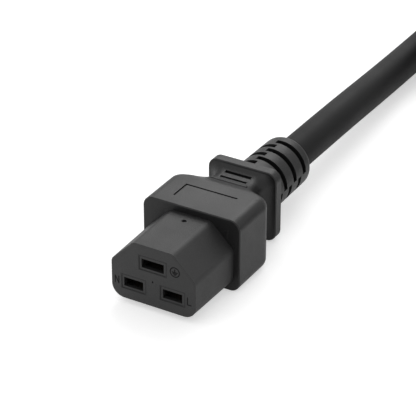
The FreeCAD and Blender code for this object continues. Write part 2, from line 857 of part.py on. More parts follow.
def racetrack(sketch, grow):
    """A closed loop of two straight runs and two half circles, grown from the hank's centre line."""
    fold = dims.hank_fold + grow
    left, right = dims.hank_x + dims.hank_fold - fold, dims.hank_x + dims.hank_fold + fold
    near_end, far_end = dims.hank_y, dims.hank_y + dims.hank_run
    x, radius = (dims.hank_x + dims.hank_fold).value, fold.value
    up = Vector(0, 0, 1)
    far_ring = Part.Circle(Vector(x, far_end.value, 0), up, radius)
    near_ring = Part.Circle(Vector(x, near_end.value, 0), up, radius)
    far = sketch.addGeometry(Part.ArcOfCircle(far_ring, 0, math.pi), False)
    close = sketch.addGeometry(Part.ArcOfCircle(near_ring, math.pi, 2 * math.pi), False)
    sides = []
    for place in (left.value, right.value):
        start, end = Vector(place, near_end.value, 0), Vector(place, far_end.value, 0)
        sides.append(sketch.addGeometry(Part.LineSegment(start, end), False))
    for side, near_point, far_point in ((sides[0], 1, 2), (sides[1], 2, 1)):
        sketch.addConstraint(Sketcher.Constraint("Tangent", side, 1, close, near_point))
        sketch.addConstraint(Sketcher.Constraint("Tangent", side, 2, far, far_point))
    dimension(sketch, "Radius", far, fold)
    pin_point(sketch, far, 3, dims.hank_x + dims.hank_fold, far_end)
    pin_point(sketch, close, 3, dims.hank_x + dims.hank_fold, near_end)


def cord_hank():
    """The put-away length: two layers on a racetrack, open where the cord comes in and where it leaves."""
    body = new_body("cord_hank", 0, 0, dims.tie_thickness)
    loop = sketch_on(body, "hank_loop", "XY_Plane")
    racetrack(loop, dims.cord_diameter / 2)
    racetrack(loop, -dims.cord_diameter / 2)
    pad(body, loop, dims.cord_diameter * 2)
    middle = dims.hank_x + dims.hank_fold
    left = sketch_on(body, "way_in", "XY_Plane")
    right = sketch_on(body, "way_out", "XY_Plane", dims.cord_diameter - dims.lay_gap)
    reach = dims.hank_fold + dims.cord_diameter
    low = dims.hank_y - reach
    for sketch, side, end in ((left, -1, dims.hank_left_end), (right, 1, dims.hank_right_end)):
        x = middle + (dims.hank_climb / 2 + reach) / 2 * side
        rectangle(sketch, reach - dims.hank_climb / 2, end - low, x, (low + end) / 2)
    pocket(body, left, dims.cord_diameter + dims.lay_gap, reverse=True)
    pocket(body, right, dims.cord_diameter + dims.lay_gap, reverse=True)
    return body


def hank_tie(label, x):
    """A strap closed round the two layers of one run of the hank."""
    body = new_body(label, x, dims.tie_y, dims.tie_thickness + dims.cord_diameter)
    inner = dims.cord_diameter + dims.tie_slack * 2
    strap = across(body, "strap", 0)
    rectangle(strap, inner + dims.tie_thickness * 2, dims.cord_diameter * 2 + dims.tie_thickness * 2)
    rectangle(strap, inner, dims.cord_diameter * 2)
    pad(body, strap, dims.tie_width, symmetric=True)
    out = (inner / 2 + dims.tie_thickness).value

    def corner(edge):
        spot = middle_of(edge)
        return runs_along(edge, "y") and near(abs(spot.x), out)

    fillet(body, f"{label}_corners", corner, dims.tie_corner)
    return body


def build():
    """Makes every sub-part of the cord and returns them in the order they are assembled."""
    parts = [contact_carrier()]
    contact_end = dims.face_wall + dims.contact_setback + dims.contact_length
    core_start = contact_end + dims.barrel_length + dims.core_gap
    here = (0, connector_back, axis_height)
    cores = []
    for pole, x, z, width in blade_places():
        parts.append(contact(pole, x, z, width))
        cores.append(core(f"{pole}_wire", x, z, core_start, flange_front - dims.jacket_setback, here))
    run = cord_run()
    parts += [*cores, run, connector_grip([*cores, run])]
    tail = cord_tail()
    parts.append(cord_hank())
    for side, x in (("left", dims.hank_x), ("right", dims.hank_x + dims.hank_fold * 2)):
        parts.append(hank_tie(f"{side}_tie", x))
    parts += [tail, pin_carrier()]
    core_start = cavity_depth + dims.pin_carrier_length + dims.barrel_length + dims.core_gap
    there = (dims.plug_x, dims.plug_y, axis_height)
    insides = [tail]
    for pole, x, z, width in blade_places(-1):
        insides.append(blade_pin(pole, x, z, width))
        insides.append(core(f"plug_{pole}_wire", x, z, core_start, plug_jacket_end() - dims.plug_y, there))
    parts += [*insides[1:], plug_grip(insides)]
    return parts


def check(parts):
    """Stops the build if any object failed or any sub-part is not one whole, valid solid."""
    doc.recompute()
    for item in doc.Objects:
        if {"Invalid", "Error"} & set(item.State):
            raise RuntimeError(f"{item.Label} failed: {item.State}")
    for part in parts:
        if part.Shape.isNull() or not part.Shape.isValid() or len(part.Shape.Solids) != 1:
            raise RuntimeError(f"{part.Label} is not one valid solid: {len(part.Shape.Solids)} solids")


def write(parts):
    os.makedirs("parts", exist_ok=True)
    for part in parts:
        part.Shape.exportStep(f"parts/{part.Label}.step")
        print(f"{part.Label}: {part.Shape.Volume:.1f} cubic mm")


finished = build()
check(finished)
write(finished)
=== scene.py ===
"""Dresses the solids of a power cord: jacket, straps, moulded grips, slotted nose, its marks, and metal."""

import math

import bmesh
import bpy
import numpy as np
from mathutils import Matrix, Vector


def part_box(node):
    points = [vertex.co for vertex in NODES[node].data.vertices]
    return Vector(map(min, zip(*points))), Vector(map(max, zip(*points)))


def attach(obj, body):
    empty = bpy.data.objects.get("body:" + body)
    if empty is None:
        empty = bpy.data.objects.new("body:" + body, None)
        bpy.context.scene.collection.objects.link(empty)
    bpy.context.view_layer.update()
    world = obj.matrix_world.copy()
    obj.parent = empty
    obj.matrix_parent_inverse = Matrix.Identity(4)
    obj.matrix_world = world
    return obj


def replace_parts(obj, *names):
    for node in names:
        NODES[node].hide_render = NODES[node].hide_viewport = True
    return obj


bl_info = {
    "name": "Power cord",
    "version": (1, 0, 0),
    "blender": (4, 5, 0),
    "location": "View3D > Sidebar > Power cord",
    "description": "Builds the cord, straps, marks and finishes of a moulded power cord over its solids",
    "category": "Add Mesh",
}

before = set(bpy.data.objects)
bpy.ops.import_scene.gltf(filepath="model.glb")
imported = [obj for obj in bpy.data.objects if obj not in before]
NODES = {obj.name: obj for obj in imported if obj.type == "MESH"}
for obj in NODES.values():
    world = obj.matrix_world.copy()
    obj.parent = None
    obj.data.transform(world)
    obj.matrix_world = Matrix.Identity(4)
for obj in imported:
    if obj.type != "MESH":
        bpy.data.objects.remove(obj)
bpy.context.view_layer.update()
BODY = "root"
MM = 0.001
X, Y, Z = 0, 1, 2
POLES = ("line", "neutral", "earth")


def middle(node, axis):
    """The middle of a node's box along an axis, in millimetres to the nearest hundredth."""
    low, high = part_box(node)
    return round((low[axis] + high[axis]) / 2 / MM, 2)


def front(node):
    """Where a node's box begins along the cord, in metres."""
    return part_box(node)[0][Y]


# The cord in millimetres, as in the solids: its axis in the grips, and where its jacket begins and ends
CORD_DIAMETER = 11.3
CORD_AXIS = middle("connector_overmould", Z)
CONNECTOR_NECK = 10.05
PLUG_X = middle("plug_overmould", X)
PLUG_NECK = 77.9

# The hank in millimetres: its runs, the middles of its folds, where the cord comes in and leaves, its layers
HANK_LEFT = middle("left_tie", X)
HANK_RIGHT = middle("right_tie", X)
HANK_NEAR = 168.0
HANK_FAR = 298.0
HANK_IN = 170.0
HANK_OUT = 214.0
LOWER_LAYER = middle("cord_hank", Z) - CORD_DIAMETER / 2
UPPER_LAYER = LOWER_LAYER + CORD_DIAMETER

# The nose's face in millimetres: its slots as in the solids, and the marks beside them
PIN_PITCH = 13.0
PIN_DROP = 4.3
EARTH_RISE = 8.0
SLOT_ROW = CORD_AXIS - PIN_DROP
SLOT_WIDTH = 6.4
EARTH_SLOT_WIDTH = 7.4
SLOT_HEIGHT = 2.9
SLOT_RIM = 0.9
SLOTS = (
    (-PIN_PITCH / 2, SLOT_ROW, SLOT_WIDTH),
    (PIN_PITCH / 2, SLOT_ROW, SLOT_WIDTH),
    (0.0, SLOT_ROW + EARTH_RISE, EARTH_SLOT_WIDTH),
)
NEUTRAL_MARK = (-12.05, SLOT_ROW)
LINE_MARK = (12.05, SLOT_ROW)
EARTH_MARK = (7.4, 15.9)
EARTH_RING = 1.5

# How far a bead reaches under the nose's face, in metres; a frame's goes down into the step round its slot
MARK_SINK = 0.02 * MM
FRAME_SINK = 0.14 * MM

# The grains of the moulds, as noise scales
GRIP_GRAIN = 2400.0
NOSE_GRAIN = 2800.0

# Where the lamps stand and what they face, in metres, and how wide they are
KEY_LIGHT = {"place": (-0.25, 0.75, 0.80), "target": (0.0, 0.03, 0.0), "width": 0.8}
FRONT_LIGHT = {"place": (-0.15, -0.75, 1.0), "target": (0.0, 0.0, 0.0), "width": 1.2}

# The mix node's sockets, which go by number: a share, two numbers or two colours, and the mix of either
MIX_SHARE = 0
MIX_NUMBERS = (2, 3)
MIX_COLOURS = (6, 7)
MIXED_NUMBER = 0
MIXED_COLOUR = 2


class CordSizes(bpy.types.PropertyGroup):
    """Sizes of the cord and of what is laid on the solids."""

    diameter: bpy.props.FloatProperty(
        name="Cord diameter", default=CORD_DIAMETER * MM, unit="LENGTH",
        description="Outside of the jacket")
    free_length: bpy.props.FloatProperty(
        name="Cord length", default=1.09, unit="LENGTH",
        description="Jacket from the connector's neck to the plug's neck")
    strap_thickness: bpy.props.FloatProperty(
        name="Strap thickness", default=1.2 * MM, unit="LENGTH",
        description="Thickness of the woven straps")
    strap_width: bpy.props.FloatProperty(
        name="Strap width", default=15.6 * MM, unit="LENGTH",
        description="Width of the woven straps along the cord")
    mark_height: bpy.props.FloatProperty(
        name="Mark height", default=0.05 * MM, unit="LENGTH",
        description="How far the marks and frames stand out of the nose's face")
    mark_stroke: bpy.props.FloatProperty(
        name="Mark stroke", default=0.32 * MM, unit="LENGTH",
        description="Width of the strokes of the pole marks")
    frame_stroke: bpy.props.FloatProperty(
        name="Frame stroke", default=0.34 * MM, unit="LENGTH",
        description="Width of the frames round the slots")


class CordColours(bpy.types.PropertyGroup):
    """Base colours of the finishes, as linear values."""

    nose: bpy.props.FloatVectorProperty(
        name="Nose", default=(0.0050, 0.0050, 0.0052), subtype="COLOR",
        description="Hard plastic of the nose, its slot frames and the pin carrier")
    grip: bpy.props.FloatVectorProperty(
        name="Grip", default=(0.0050, 0.0050, 0.0052), subtype="COLOR",
        description="Soft plastic of the moulded grips")
    jacket: bpy.props.FloatVectorProperty(
        name="Jacket", default=(0.0070, 0.0070, 0.0073), subtype="COLOR",
        description="Jacket of the cord")
    strap: bpy.props.FloatVectorProperty(
        name="Strap", default=(0.020, 0.020, 0.022), subtype="COLOR",
        description="Woven straps round the hank")
    # The marks' colour is darker than the nose's plastic: painted shade of the moulded strokes
    mark: bpy.props.FloatVectorProperty(
        name="Marks", default=(0.0030, 0.0030, 0.0031), subtype="COLOR",
        description="Pole marks on the nose's face")
    brass: bpy.props.FloatVectorProperty(
        name="Brass", default=(0.40, 0.28, 0.12), subtype="COLOR",
        description="Spring contacts in the nose")
    plating: bpy.props.FloatVectorProperty(
        name="Plating", default=(0.52, 0.51, 0.49), subtype="COLOR",
        description="Pins of the plug")
    line_core: bpy.props.FloatVectorProperty(
        name="Line core", default=(0.10, 0.035, 0.012), subtype="COLOR",
        description="Insulation of the line core")
    neutral_core: bpy.props.FloatVectorProperty(
        name="Neutral core", default=(0.02, 0.07, 0.30), subtype="COLOR",
        description="Insulation of the neutral core")
    earth_core: bpy.props.FloatVectorProperty(
        name="Earth core", default=(0.06, 0.22, 0.03), subtype="COLOR",
        description="Insulation of the earth core")
    earth_band: bpy.props.FloatVectorProperty(
        name="Earth band", default=(0.55, 0.45, 0.02), subtype="COLOR",
        description="Second colour of the earth core")


class StageSettings(bpy.types.PropertyGroup):
    """The photographer's table, light and camera."""

    lens: bpy.props.FloatProperty(
        name="Lens", default=173.08,
        description="Focal length on a 36 mm sensor, in millimetres")
    azimuth: bpy.props.FloatProperty(
        name="Azimuth", default=math.radians(30.4), subtype="ANGLE",
        description="Turn of the camera about the vertical")
    elevation: bpy.props.FloatProperty(
        name="Elevation", default=math.radians(30.088), subtype="ANGLE",
        description="Height of the camera above the horizon")
    eye: bpy.props.FloatVectorProperty(
        name="Eye", default=(0.25701, -0.44722, 0.31343), subtype="XYZ",
        description="Place of the camera")
    key_power: bpy.props.FloatProperty(
        name="Key light", default=4.2,
        description="Power of the large light behind the cord, in watts")
    front_power: bpy.props.FloatProperty(
        name="Front light", default=1.5,
        description="Power of the wide light above and in front, in watts")
    fill: bpy.props.FloatProperty(
        name="Fill", default=0.8,
        description="Strength of the even light from all round")
    table_glow: bpy.props.FloatProperty(
        name="Table glow", default=0.5,
        description="What lifts the lit table to white in the picture")
    mirror_glow: bpy.props.FloatProperty(
        name="Mirror glow", default=0.25,
        description="What lifts the lit table to white in reflections")


def sizes():
    return bpy.context.scene.power_cord_sizes


def colours():
    return bpy.context.scene.power_cord_colours


def stage_settings():
    return bpy.context.scene.power_cord_stage


class Finish:
    """Lays out the nodes of one procedural material."""

    def __init__(self, name):
        self.material = bpy.data.materials.new(name)
        self.material.use_nodes = True
        self.tree = self.material.node_tree
        self.shader = self.tree.nodes["Principled BSDF"]
        self.place = self.tree.nodes.new("ShaderNodeTexCoord").outputs["Object"]

    def node(self, kind, **settings):
        made = self.tree.nodes.new(kind)
        for name, value in settings.items():
            setattr(made, name, value)
        return made

    def link(self, source, target):
        self.tree.links.new(source, target)

    def set(self, **values):
        """Values that are the same all over go straight on the shader's sockets."""
        for name, value in values.items():
            self.shader.inputs[name.replace("_", " ")].default_value = value

    def noise(self, scale, detail, roughness, stretch=None):
        """Noise of about 1 / scale metres on the piece's coordinates, each times its factor in stretch."""
        made = self.node("ShaderNodeTexNoise")
        made.inputs["Scale"].default_value = scale
        made.inputs["Detail"].default_value = detail
        made.inputs["Roughness"].default_value = roughness
        source = self.place
        if stretch is not None:
            mapping = self.node("ShaderNodeMapping")
            mapping.inputs["Scale"].default_value = stretch
            self.link(source, mapping.inputs["Vector"])
            source = mapping.outputs["Vector"]
        self.link(source, made.inputs["Vector"])
        return made.outputs["Fac"]

    def remap(self, source, low, high, start=0.3, end=0.7):
        """A value carried from the range start to end, to the range low to high, and held at both ends."""
        made = self.node("ShaderNodeMapRange")
        for name, value in (("From Min", start), ("From Max", end), ("To Min", low), ("To Max", high)):
            made.inputs[name].default_value = value
        self.link(source, made.inputs["Value"])
        return made.outputs["Result"]

    def tint(self, source, dark, light):
        """Colour between two tones by a value from 0 to 1."""
        made = self.node("ShaderNodeMix", data_type="RGBA")
        for socket, tone in zip(MIX_COLOURS, (dark, light)):
            made.inputs[socket].default_value = (*tone, 1.0)
        self.link(source, made.inputs[MIX_SHARE])
        self.link(made.outputs[MIXED_COLOUR], self.shader.inputs["Base Color"])

    def rough(self, source, low, high):
        """Roughness between two values by a noise."""
        self.link(self.remap(source, low, high), self.shader.inputs["Roughness"])

    def bump(self, source, distance, under=None):
        """Relief of a height in metres, over another relief if one is given."""
        made = self.node("ShaderNodeBump")
        made.inputs["Distance"].default_value = distance
        self.link(source, made.inputs["Height"])
        if under is not None:
            self.link(under, made.inputs["Normal"])
        self.link(made.outputs["Normal"], self.shader.inputs["Normal"])
        return made.outputs["Normal"]


def shade(colour, factor):
    """A colour made darker or lighter by a factor."""
    return tuple(min(1.0, channel * factor) for channel in colour)


def moulded_finish(name, colour, roughness, grain, relief, specular):
    """Spark-eroded moulded plastic: a fine grain, and faint clouds in tone and gloss from handling."""
    finish = Finish(name)
    clouds = finish.noise(scale=55.0, detail=4.0, roughness=0.6)
    grains = finish.noise(scale=grain, detail=3.0, roughness=0.65)
    finish.tint(finish.remap(clouds, 0.0, 1.0), shade(colour, 0.9), shade(colour, 1.12))
    finish.rough(clouds, roughness - 0.05, roughness + 0.06)
    finish.set(Specular_IOR_Level=specular)
    finish.bump(finish.remap(grains, 0.0, 1.0, start=0.25, end=0.75), relief)
    return finish.material


def jacket_finish(name, colour):
    """Drawn jacket: a fine skin, and faint clouds in tone and gloss where it was rubbed."""
    finish = Finish(name)
    clouds = finish.noise(scale=70.0, detail=3.0, roughness=0.6)
    skin = finish.noise(scale=2600.0, detail=2.0, roughness=0.6)
    finish.tint(finish.remap(clouds, 0.0, 1.0), shade(colour, 0.88), shade(colour, 1.15))
    finish.rough(clouds, low=0.54, high=0.62)
    finish.set(Specular_IOR_Level=0.2)
    finish.bump(finish.remap(skin, 0.0, 1.0, start=0.25, end=0.75), distance=0.012 * MM)
    return finish.material


def metal_finish(name, colour, roughness):
    """Rolled and plated metal: fine lines along the strip, and a faint haze."""
    finish = Finish(name)
    lines = finish.noise(scale=400.0, detail=3.0, roughness=0.6, stretch=(6.0, 0.4, 6.0))
    finish.tint(finish.remap(lines, 0.0, 1.0), shade(colour, 0.9), shade(colour, 1.05))
    finish.rough(lines, roughness - 0.06, roughness + 0.08)
    finish.set(Metallic=1.0)
    finish.bump(lines, distance=0.004 * MM)
    return finish.material


def core_finish(name, colour, band=None):
    """Smooth core insulation; the earth core has a second colour in a lengthwise band."""
    finish = Finish(name)
    clouds = finish.noise(scale=300.0, detail=3.0, roughness=0.5)
    if band is None:
        finish.tint(finish.remap(clouds, 0.0, 1.0), shade(colour, 0.9), shade(colour, 1.1))
    else:
        blur = 0.1 * MM
        parts = finish.node("ShaderNodeSeparateXYZ")
        finish.link(finish.place, parts.inputs["Vector"])
        finish.tint(finish.remap(parts.outputs["X"], 0.0, 1.0, start=-blur, end=blur), colour, band)
    finish.rough(clouds, low=0.28, high=0.36)
    return finish.material


def woven_finish(name, colour, width):
    """Hook-and-loop strap on its UV map in millimetres: a pile of small loops between two ribbed edges.

    The loops are the cells of a pattern, highest at their middles. The ribs are bands across the strap, and
    take over where a point is further from the strap's middle than a share of its width.
    """
    loop_scale, rib_scale = 1.3, 0.4
    edge_start, edge_end = 0.39 * width, 0.41 * width
    finish = Finish(name)
    where = finish.node("ShaderNodeUVMap").outputs["UV"]
    loops = finish.node("ShaderNodeTexVoronoi", voronoi_dimensions="2D")
    loops.inputs["Scale"].default_value = loop_scale
    ribs = finish.node("ShaderNodeTexWave", wave_type="BANDS", bands_direction="X")
    ribs.inputs["Scale"].default_value = rib_scale
    parts = finish.node("ShaderNodeSeparateXYZ")
    for texture in (loops, ribs, parts):
        finish.link(where, texture.inputs["Vector"])
    aside = finish.node("ShaderNodeMath", operation="ABSOLUTE")
    finish.link(parts.outputs["Y"], aside.inputs[0])
    edge = finish.remap(aside.outputs["Value"], 0.0, 1.0, edge_start, edge_end)
    domes = finish.remap(loops.outputs["Distance"], 1.0, 0.0, start=0.05, end=0.6)
    mix = finish.node("ShaderNodeMix")
    finish.link(edge, mix.inputs[MIX_SHARE])
    for source, socket in zip((domes, ribs.outputs["Fac"]), MIX_NUMBERS):
        finish.link(source, mix.inputs[socket])
    height = mix.outputs[MIXED_NUMBER]
    # The tone follows the height of the loops and ribs: painted shade in their hollows and a painted
    # highlight on their crowns
    finish.tint(height, shade(colour, 0.4), shade(colour, 1.6))
    finish.set(Roughness=0.85, Sheen_Weight=0.3)
    pile = finish.bump(height, distance=0.3 * MM)
    finish.bump(finish.noise(scale=4000.0, detail=3.0, roughness=0.7), distance=0.05 * MM, under=pile)
    return finish.material


def dress(names, material):
    """Gives CAD nodes a finish in place of their plain one."""
    for name in names:
        slots = NODES[name].data.materials
        slots.clear()
        slots.append(material)


def surface(name, grid, closed_u=False, closed_v=False, uv=None):
    """A mesh from a grid of points (rows along u, columns along v), joined end to end where it closes.

    The grid of UV places has one row or column more where the mesh closes.
    """
    rows, columns = grid.shape[:2]
    u = np.arange(rows if closed_u else rows - 1)
    v = np.arange(columns if closed_v else columns - 1)
    u, v = (part.ravel() for part in np.meshgrid(u, v, indexing="ij"))
    corners = ((u, v), (u + 1, v), (u + 1, v + 1), (u, v + 1))
    faces = np.stack([(row % rows) * columns + column % columns for row, column in corners], axis=1)
    mesh = bpy.data.meshes.new(name)
    mesh.from_pydata(grid.reshape(-1, 3).tolist(), [], faces.tolist())
    if uv is not None:
        layer = mesh.uv_layers.new(name="UVMap")
        places = np.stack([uv[row, column] for row, column in corners], axis=1)
        layer.data.foreach_set("uv", places.ravel())
    return mesh


def welded(name, meshes):
    """Several closed meshes as one, where the points that each has twice at a pole or spine become one."""
    whole = bmesh.new()
    for mesh in meshes:
        part = bmesh.new()
        part.from_mesh(mesh)
        bmesh.ops.remove_doubles(part, verts=part.verts, dist=1e-8)
        bmesh.ops.recalc_face_normals(part, faces=part.faces)
        part.to_mesh(mesh)
        part.free()
        whole.from_mesh(mesh)
        bpy.data.meshes.remove(mesh)
    made = bpy.data.meshes.new(name)
    whole.to_mesh(made)
    whole.free()
    made.shade_smooth()
    return made


def placed(name, mesh, material):
    """A finished piece at the origin, riding on the body."""
    piece = bpy.data.objects.new(name, mesh)
    bpy.context.scene.collection.objects.link(piece)
    mesh.materials.append(material)
    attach(piece, BODY)
    return piece


def smooth_step(share):
    """0 below 0, 1 above 1, and level at both: three times the square less twice the cube."""
    share = np.clip(share, 0, 1)
    return share * share * (3 - 2 * share)


def whole_turn(steps):
    """Even angles of one whole turn, without its end, which is its start again."""
    return np.linspace(0, 2 * np.pi, steps, endpoint=False)


def hank_route():
    """Points of the hank's turns in millimetres: straight runs and half circles in two layers.

    The near fold climbs from the lower layer to the upper one by a smooth step. A quadratic spline runs
    inside the corners of its points by the cosine of half their spacing, so the folds' points stand that
    much further out.
    """
    centre = (HANK_LEFT + HANK_RIGHT) / 2
    fold = (HANK_RIGHT - HANK_LEFT) / 2
    turn = np.linspace(0, np.pi, 7)
    out = fold / math.cos(turn[1] / 2)
    quarters = np.array([0.25, 0.5, 0.75])
    climb_start, climb_end = math.radians(25), math.radians(125)

    def straight(x, start, end, z):
        """Three points between the ends of a run."""
        y = start + (end - start) * quarters
        return np.stack([np.full_like(y, x), y, np.full_like(y, z)], axis=1)

    def far_fold(z):
        """A half circle at one height, from the left run round to the right one."""
        x, y = centre - out * np.cos(turn), HANK_FAR + out * np.sin(turn)
        return np.stack([x, y, np.full_like(turn, z)], axis=1)

    climb = smooth_step((turn - climb_start) / (climb_end - climb_start))
    height = LOWER_LAYER + (UPPER_LAYER - LOWER_LAYER) * climb
    near_fold = np.stack([centre + out * np.cos(turn), HANK_NEAR - out * np.sin(turn), height], axis=1)
    return np.concatenate([
        straight(HANK_LEFT, HANK_IN, HANK_FAR, LOWER_LAYER),
        far_fold(LOWER_LAYER),
        straight(HANK_RIGHT, HANK_FAR, HANK_NEAR, LOWER_LAYER),
        near_fold,
        straight(HANK_LEFT, HANK_NEAR, HANK_FAR, UPPER_LAYER),
        far_fold(UPPER_LAYER),
        straight(HANK_RIGHT, HANK_FAR, HANK_OUT, UPPER_LAYER),
    ])


def cord_route():
    """The cord's control points in metres, from the connector's neck through the hank to the plug's neck."""
    over = PLUG_X - HANK_RIGHT
    run = np.array([
        (0.0, CONNECTOR_NECK, CORD_AXIS),
        (0.0, 65.0, CORD_AXIS),
        (HANK_LEFT, 120.0, LOWER_LAYER),
        (HANK_LEFT, HANK_IN, LOWER_LAYER),
    ])
    tail = np.array([
        (HANK_RIGHT, HANK_OUT, UPPER_LAYER),
        (HANK_RIGHT, 188.0, UPPER_LAYER),
        (HANK_RIGHT + 0.32 * over, 162.0, UPPER_LAYER + 0.8),
        (HANK_RIGHT + 0.75 * over, 137.0, (UPPER_LAYER + CORD_AXIS) / 2),
        (PLUG_X, 107.5, CORD_AXIS),
        (PLUG_X, PLUG_NECK, CORD_AXIS),
    ])
    return np.concatenate([run, hank_route(), tail]) * MM


class POWERCORD_OT_stage(bpy.types.Operator):
    """Sets the pale table, soft light and camera of the photograph"""

    bl_idname = "power_cord.stage"
    bl_label = "Stage"

    def execute(self, context):
        settings = stage_settings()
        scene = context.scene
        scene.view_settings.view_transform = "Standard"
        lens = bpy.data.cameras.new("camera")
        lens.lens = settings.lens
        lens.sensor_width = 36.0
        lens.clip_start = 0.01
        camera = bpy.data.objects.new("camera", lens)
        scene.collection.objects.link(camera)
        camera.location = settings.eye
        camera.rotation_euler = (math.pi / 2 - settings.elevation, 0.0, settings.azimuth)
        scene.camera = camera
        self.light("key_light", power=settings.key_power, **KEY_LIGHT)
        self.light("front_light", power=settings.front_power, **FRONT_LIGHT)
        self.world(settings.fill)
        self.table(settings.table_glow, settings.mirror_glow)
        return {"FINISHED"}

    def light(self, name, power, place, target, width):
        """A round lamp at a place, turned to face its target."""
        lamp = bpy.data.lights.new(name, "AREA")
        lamp.shape = "DISK"
        lamp.size = width
        lamp.energy = power
        holder = bpy.data.objects.new(name, lamp)
        bpy.context.scene.collection.objects.link(holder)
        holder.location = place
        away = np.array(place) - np.array(target)
        flat = math.hypot(away[X], away[Y])
        holder.rotation_euler = (math.atan2(flat, away[Z]), 0.0, math.atan2(away[X], -away[Y]))

    def sums(self, tree, operation, first, second):
        """The larger, the sum or the product of two values, of which the second may be a plain number."""
        made = tree.nodes.new("ShaderNodeMath")
        made.operation = operation
        tree.links.new(first, made.inputs[0])
        if isinstance(second, float):
            made.inputs[1].default_value = second
        else:
            tree.links.new(second, made.inputs[1])
        return made.outputs["Value"]

    def rays(self, tree):
        """1 for what the camera sees directly, and 1 for what it sees in a reflection or a clear piece."""
        path = tree.nodes.new("ShaderNodeLightPath")
        glossy, clear = path.outputs["Is Glossy Ray"], path.outputs["Is Transmission Ray"]
        return path.outputs["Is Camera Ray"], self.sums(tree, "MAXIMUM", glossy, clear)

    def world(self, strength):
        """Even white light, seen as plain white behind the table."""
        world = bpy.data.worlds.new("studio")
        bpy.context.scene.world = world
        world.use_nodes = True
        tree = world.node_tree
        tree.nodes.clear()
        even, white = (tree.nodes.new("ShaderNodeBackground") for _ in range(2))
        even.inputs["Strength"].default_value = strength
        white.inputs["Strength"].default_value = 1.0
        mix = tree.nodes.new("ShaderNodeMixShader")
        out = tree.nodes.new("ShaderNodeOutputWorld")
        tree.links.new(self.sums(tree, "MAXIMUM", *self.rays(tree)), mix.inputs["Fac"])
        tree.links.new(even.outputs["Background"], mix.inputs[1])
        tree.links.new(white.outputs["Background"], mix.inputs[2])
        tree.links.new(mix.outputs["Shader"], out.inputs["Surface"])

    def table(self, picture_glow, mirror_glow):
        """A large white table that fades into white and keeps the soft shadows."""
        half = 6.0
        left, right = ([(x, -half, 0.0), (x, half, 0.0)] for x in (-half, half))
        mesh = surface("table", np.array([left, right]))
        top = bpy.data.objects.new("table", mesh)
        bpy.context.scene.collection.objects.link(top)
        material = bpy.data.materials.new("white_table")
        material.use_nodes = True
        tree = material.node_tree
        shader = tree.nodes["Principled BSDF"]
        shader.inputs["Base Color"].default_value = (0.80, 0.80, 0.80, 1.0)
        shader.inputs["Roughness"].default_value = 0.9
        shader.inputs["Specular IOR Level"].default_value = 0.1
        direct, beyond = self.rays(tree)
        in_picture = self.sums(tree, "MULTIPLY", direct, picture_glow)
        in_mirror = self.sums(tree, "MULTIPLY", beyond, mirror_glow)
        glow = tree.nodes.new("ShaderNodeEmission")
        tree.links.new(self.sums(tree, "ADD", in_picture, in_mirror), glow.inputs["Strength"])
        both = tree.nodes.new("ShaderNodeAddShader")
        tree.links.new(shader.outputs["BSDF"], both.inputs[0])
        tree.links.new(glow.outputs["Emission"], both.inputs[1])
        tree.links.new(both.outputs["Shader"], tree.nodes["Material Output"].inputs["Surface"])
        mesh.materials.append(material)


class POWERCORD_OT_straps(bpy.types.Operator):
    """Winds a woven strap round each run of the hank"""

    bl_idname = "power_cord.straps"
    bl_label = "Straps"

    def execute(self, context):
        finish = woven_finish("woven_strap", colours().strap, sizes().strap_width / MM)
        for name, node, side in (("left_strap", "left_tie", -1), ("right_strap", "right_tie", 1)):
            low, high = (np.array(corner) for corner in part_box(node))
            mesh = welded(name, [self.strap((low + high) / 2, side)])
            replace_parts(placed(name, mesh, finish), node)
        return {"FINISHED"}

    def strap(self, centre, side):
        """A flat section with round edges, carried once round the two layers and on over its own start.

        The way along the strap runs over u: up the hank's outer side, over, down the inner side and under.
        The outward direction turns evenly on the half circles over and under and is level on the sides. The
        lap stands out by a thickness. The section runs over v: the sine and cosine of a turn, each raised to
        a small power, which squares it off. It is flattened to a line at both ends.
        """
        thick, width = sizes().strap_thickness, sizes().strap_width
        slack = 0.05 * MM
        start, rise, lap = 2.0 * MM, 4.0 * MM, 12.0 * MM
        way_steps, end_steps, edge_steps = 140, 5, 24
        squareness = 0.35
        inside = sizes().diameter / 2 + slack
        straight = (UPPER_LAYER - LOWER_LAYER) * MM
        bend = math.pi * (inside + thick / 2)
        once = 2 * (straight + bend)
        stop = once + start + lap
        ends = thick / 2 * (1 - np.cos(np.linspace(0, np.pi / 2, end_steps)))
        between = np.linspace(start + thick, stop - thick, way_steps)
        way = np.concatenate([start + ends, between, stop - ends[::-1]])

        def share(begin, length):
            """How far the way has come along a stretch, from 0 to 1."""
            return np.clip((way - begin) / length, 0, 1)

        bends = share(straight, bend) + share(2 * straight + bend, bend) + share(once + straight, bend)
        sides = share(0, straight) - share(straight + bend, straight) + share(once, straight)
        direction = np.stack([np.cos(np.pi * bends), np.sin(np.pi * bends)], axis=1)
        spine = np.stack([np.zeros_like(way), straight * (sides - 0.5)], axis=1)
        lift = thick * smooth_step(share(once + start - rise, rise))
        to_end = np.minimum(way - start, stop - way)
        flat = np.sqrt(1 - (1 - np.clip(to_end / (thick / 2), 0, 1)) ** 2)
        edge = whole_turn(edge_steps)
        across = np.sign(np.sin(edge)) * np.abs(np.sin(edge)) ** squareness * width / 2
        out = np.sign(np.cos(edge)) * np.abs(np.cos(edge)) ** squareness
        depth = inside + lift[:, None] + thick / 2 * (1 + flat[:, None] * out[None, :])
        rim = spine[:, None, :] + direction[:, None, :] * depth[..., None]
        y = np.broadcast_to(across, depth.shape)
        grid = np.stack([side * rim[..., 0], y, rim[..., 1]], axis=2) + centre
        uv = np.stack(np.broadcast_arrays(way[:, None], np.append(across, across[0])), axis=2) / MM
        return surface("strap", grid, closed_v=True, uv=uv)


